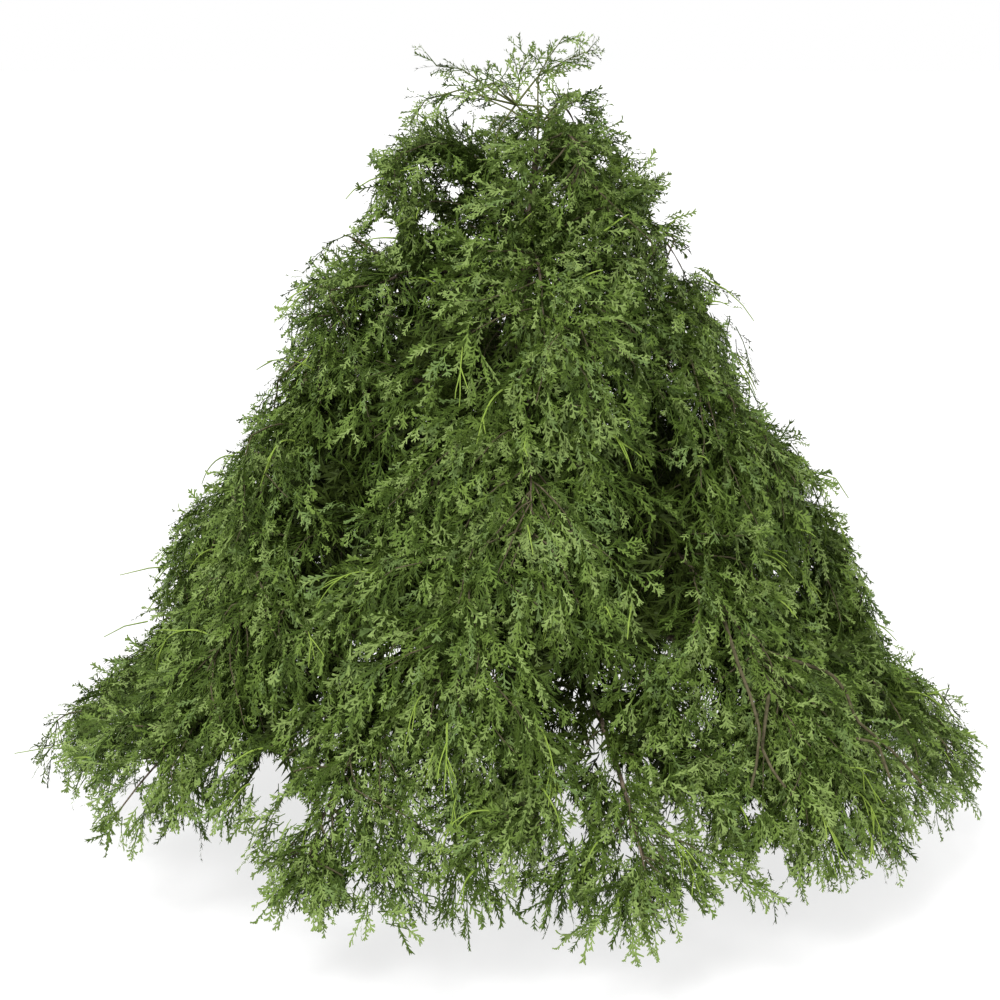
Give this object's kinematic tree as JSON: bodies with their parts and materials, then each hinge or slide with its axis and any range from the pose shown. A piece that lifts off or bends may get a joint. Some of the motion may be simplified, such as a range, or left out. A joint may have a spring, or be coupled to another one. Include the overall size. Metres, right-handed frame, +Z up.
{
  "type": "weeping thread-leaf cypress tree",
  "caption": "Broad conical conifer with a short leader, its boughs arching out and hanging to the ground in overlapping plumes of thread-like green foliage.",
  "frame": {"origin": "middle of the flat cut under the trunk, at ground level", "axes": "+Z up along the trunk, -Y towards the side that is seen first"},
  "size_m": [2.8377, 2.776, 2.4094],
  "materials": {
    "bark": "rough fibrous bark",
    "foliage": "matt scale leaves"
  },
  "bodies": {
    "root": {"bough_lower_01": "bark", "bough_lower_02": "bark", "bough_lower_03": "bark", "bough_lower_04": "bark", "bough_lower_05": "bark", "bough_lower_06": "bark", "bough_lower_07": "bark", "bough_middle_01": "bark", "bough_middle_02": "bark", "bough_middle_03": "bark", "bough_middle_04": "bark", "bough_middle_05": "bark", "bough_shoulder_01": "bark", "bough_shoulder_02": "bark", "bough_shoulder_03": "bark", "bough_skirt_01": "bark", "bough_skirt_02": "bark", "bough_skirt_03": "bark", "bough_skirt_04": "bark", "bough_skirt_05": "bark", "bough_skirt_06": "bark", "bough_skirt_07": "bark", "bough_skirt_08": "bark", "bough_skirt_09": "bark", "bough_skirt_10": "bark", "bough_upper_01": "bark", "bough_upper_02": "bark", "bough_upper_03": "bark", "bough_upper_04": "bark", "foliage_leader": "foliage", "foliage_lower_01": "foliage", "foliage_lower_02": "foliage", "foliage_lower_03": "foliage", "foliage_lower_04": "foliage", "foliage_lower_05": "foliage", "foliage_lower_06": "foliage", "foliage_lower_07": "foliage", "foliage_middle_01": "foliage", "foliage_middle_02": "foliage", "foliage_middle_03": "foliage", "foliage_middle_04": "foliage", "foliage_middle_05": "foliage", "foliage_shoulder_01": "foliage", "foliage_shoulder_02": "foliage", "foliage_shoulder_03": "foliage", "foliage_skirt_01": "foliage", "foliage_skirt_02": "foliage", "foliage_skirt_03": "foliage", "foliage_skirt_04": "foliage", "foliage_skirt_05": "foliage", "foliage_skirt_06": "foliage", "foliage_skirt_07": "foliage", "foliage_skirt_08": "foliage", "foliage_skirt_09": "foliage", "foliage_skirt_10": "foliage", "foliage_upper_01": "foliage", "foliage_upper_02": "foliage", "foliage_upper_03": "foliage", "foliage_upper_04": "foliage", "trunk": "bark"}
  },
  "joints": []
}
